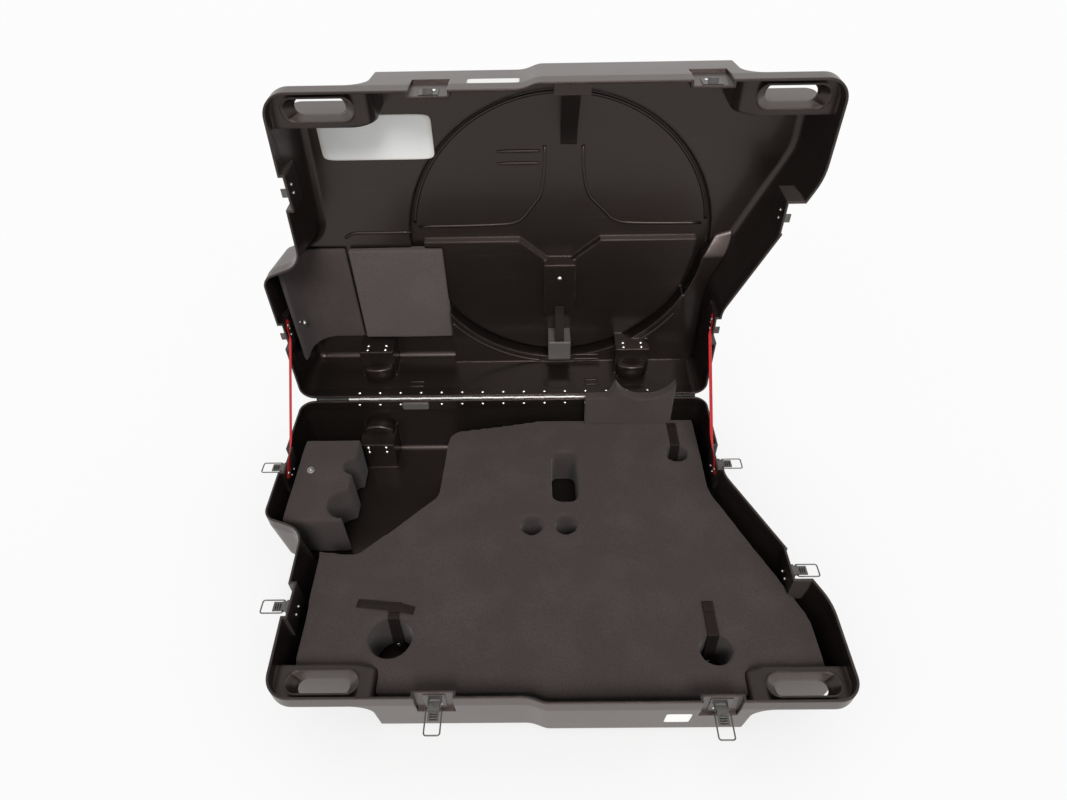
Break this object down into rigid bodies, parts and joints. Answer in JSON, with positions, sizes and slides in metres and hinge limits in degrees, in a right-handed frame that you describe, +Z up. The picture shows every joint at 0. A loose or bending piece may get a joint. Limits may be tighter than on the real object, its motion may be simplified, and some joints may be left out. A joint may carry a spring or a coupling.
{
  "type": "bicycle travel case",
  "caption": "Open hard-shell bicycle travel case: base and hinged lid with foam inserts, wheel well, draw latches, casters, hand holes, stays and straps.",
  "frame": {"origin": "on the underside of the base shell, midway along the hinge line and midway from the hinge edge to the front edge", "axes": "+Z up, +X along the hinge line to the right as seen from the front, +Y from the front edge towards the hinge and the open lid"},
  "size_m": [1.3601, 1.096, 1.0386],
  "materials": {
    "shell": "matte",
    "steel": "satin",
    "rivet": "polished",
    "hinge": "satin",
    "foam": "matte",
    "wheel": "matte",
    "webbing": "matte",
    "red_webbing": "matte",
    "pad": "matte"
  },
  "bodies": {
    "base": {"base_shell": "shell", "base_hinge_leaf": "hinge", "hinge_pin": "steel", "base_hinge_rivets": "rivet", "latch_rivets": "rivet", "base_left_fork": "steel", "base_right_fork": "steel", "base_caster_axles": "steel", "base_caster_screws": "rivet", "base_foam": "foam", "bar_foam": "foam", "saddle_foam": "foam", "left_stay": "red_webbing", "right_stay": "red_webbing", "base_studs": "rivet", "frame_straps": "webbing", "near_left_latch_plate": "steel", "far_left_latch_plate": "steel", "near_right_latch_plate": "steel", "far_right_latch_plate": "steel", "front_left_latch_plate": "steel", "front_right_latch_plate": "steel"},
    "lid": {"lid_shell": "shell", "lid_hinge_leaf": "hinge", "lid_hinge_rivets": "rivet", "keeper_rivets": "rivet", "lid_left_fork": "steel", "lid_right_fork": "steel", "lid_caster_axles": "steel", "lid_caster_screws": "rivet", "lid_liner": "foam", "lid_pad": "foam", "strap_anchor": "pad", "wheel_strap": "webbing", "strap_block": "pad", "hub_strap": "webbing", "lid_studs": "rivet", "near_left_keeper": "steel", "far_left_keeper": "steel", "near_right_keeper": "steel", "far_right_keeper": "steel", "front_left_keeper": "steel", "front_right_keeper": "steel"},
    "near_left_lever": {"near_left_lever": "steel"},
    "near_left_bail": {"near_left_bail": "steel"},
    "far_left_lever": {"far_left_lever": "steel"},
    "far_left_bail": {"far_left_bail": "steel"},
    "near_right_lever": {"near_right_lever": "steel"},
    "near_right_bail": {"near_right_bail": "steel"},
    "far_right_lever": {"far_right_lever": "steel"},
    "far_right_bail": {"far_right_bail": "steel"},
    "front_left_lever": {"front_left_lever": "steel"},
    "front_left_bail": {"front_left_bail": "steel"},
    "front_right_lever": {"front_right_lever": "steel"},
    "front_right_bail": {"front_right_bail": "steel"},
    "base_left_wheel": {"base_left_wheel": "wheel"},
    "base_right_wheel": {"base_right_wheel": "wheel"},
    "lid_left_wheel": {"lid_left_wheel": "wheel"},
    "lid_right_wheel": {"lid_right_wheel": "wheel"}
  },
  "joints": [
    {"name": "lid_hinge", "type": "hinge", "parent": "base", "child": "lid", "pos_m": [0, 0.4303, 0.18025], "axis": [1, 0, 0], "range_deg": [0, 90], "deforming": ["left_stay", "right_stay"]},
    {"name": "near_left_lever_swing", "type": "hinge", "parent": "base", "child": "near_left_lever", "pos_m": [-0.645, 0.206, 0.15025], "axis": [0, 1, 0], "range_deg": [-90, 0]},
    {"name": "near_left_bail_swing", "type": "hinge", "parent": "near_left_lever", "child": "near_left_bail", "pos_m": [-0.655, 0.206, 0.15025], "axis": [0, 1, 0], "range_deg": [0, 180]},
    {"name": "far_left_lever_swing", "type": "hinge", "parent": "base", "child": "far_left_lever", "pos_m": [-0.53617, -0.196, 0.15025], "axis": [0, 1, 0], "range_deg": [-90, 0]},
    {"name": "far_left_bail_swing", "type": "hinge", "parent": "far_left_lever", "child": "far_left_bail", "pos_m": [-0.54617, -0.196, 0.15025], "axis": [0, 1, 0], "range_deg": [0, 180]},
    {"name": "near_right_lever_swing", "type": "hinge", "parent": "base", "child": "near_right_lever", "pos_m": [0.486, 0.203, 0.15025], "axis": [0, -1, 0], "range_deg": [-90, 0]},
    {"name": "near_right_bail_swing", "type": "hinge", "parent": "near_right_lever", "child": "near_right_bail", "pos_m": [0.496, 0.203, 0.15025], "axis": [0, -1, 0], "range_deg": [0, 180]},
    {"name": "far_right_lever_swing", "type": "hinge", "parent": "base", "child": "far_right_lever", "pos_m": [0.59209, -0.117, 0.15025], "axis": [0, -1, 0], "range_deg": [-90, 0]},
    {"name": "far_right_bail_swing", "type": "hinge", "parent": "far_right_lever", "child": "far_right_bail", "pos_m": [0.60209, -0.117, 0.15025], "axis": [0, -1, 0], "range_deg": [0, 180]},
    {"name": "front_left_lever_swing", "type": "hinge", "parent": "base", "child": "front_left_lever", "pos_m": [-0.192, -0.412, 0.15025], "axis": [-1, 0, 0], "range_deg": [-90, 0]},
    {"name": "front_left_bail_swing", "type": "hinge", "parent": "front_left_lever", "child": "front_left_bail", "pos_m": [-0.192, -0.422, 0.15025], "axis": [-1, 0, 0], "range_deg": [0, 180]},
    {"name": "front_right_lever_swing", "type": "hinge", "parent": "base", "child": "front_right_lever", "pos_m": [0.373, -0.424, 0.15025], "axis": [-1, 0, 0], "range_deg": [-90, 0]},
    {"name": "front_right_bail_swing", "type": "hinge", "parent": "front_right_lever", "child": "front_right_bail", "pos_m": [0.373, -0.434, 0.15025], "axis": [-1, 0, 0], "range_deg": [0, 180]},
    {"name": "base_left_wheel_spin", "type": "hinge", "parent": "base", "child": "base_left_wheel", "pos_m": [-0.435, 0.409, 0.058], "axis": [1, 0, 0], "continuous": true},
    {"name": "base_right_wheel_spin", "type": "hinge", "parent": "base", "child": "base_right_wheel", "pos_m": [0.285, 0.409, 0.058], "axis": [1, 0, 0], "continuous": true},
    {"name": "lid_left_wheel_spin", "type": "hinge", "parent": "lid", "child": "lid_left_wheel", "pos_m": [-0.435, 0.55255, 0.20155], "axis": [1, 0, 0], "continuous": true},
    {"name": "lid_right_wheel_spin", "type": "hinge", "parent": "lid", "child": "lid_right_wheel", "pos_m": [0.285, 0.55255, 0.20155], "axis": [1, 0, 0], "continuous": true}
  ],
  "couplings": [
    {"joint": "near_left_bail_swing", "follows": "near_left_lever_swing", "ratio": -2},
    {"joint": "far_left_bail_swing", "follows": "far_left_lever_swing", "ratio": -2},
    {"joint": "near_right_bail_swing", "follows": "near_right_lever_swing", "ratio": -2},
    {"joint": "far_right_bail_swing", "follows": "far_right_lever_swing", "ratio": -2},
    {"joint": "front_left_bail_swing", "follows": "front_left_lever_swing", "ratio": -2},
    {"joint": "front_right_bail_swing", "follows": "front_right_lever_swing", "ratio": -2}
  ]
}
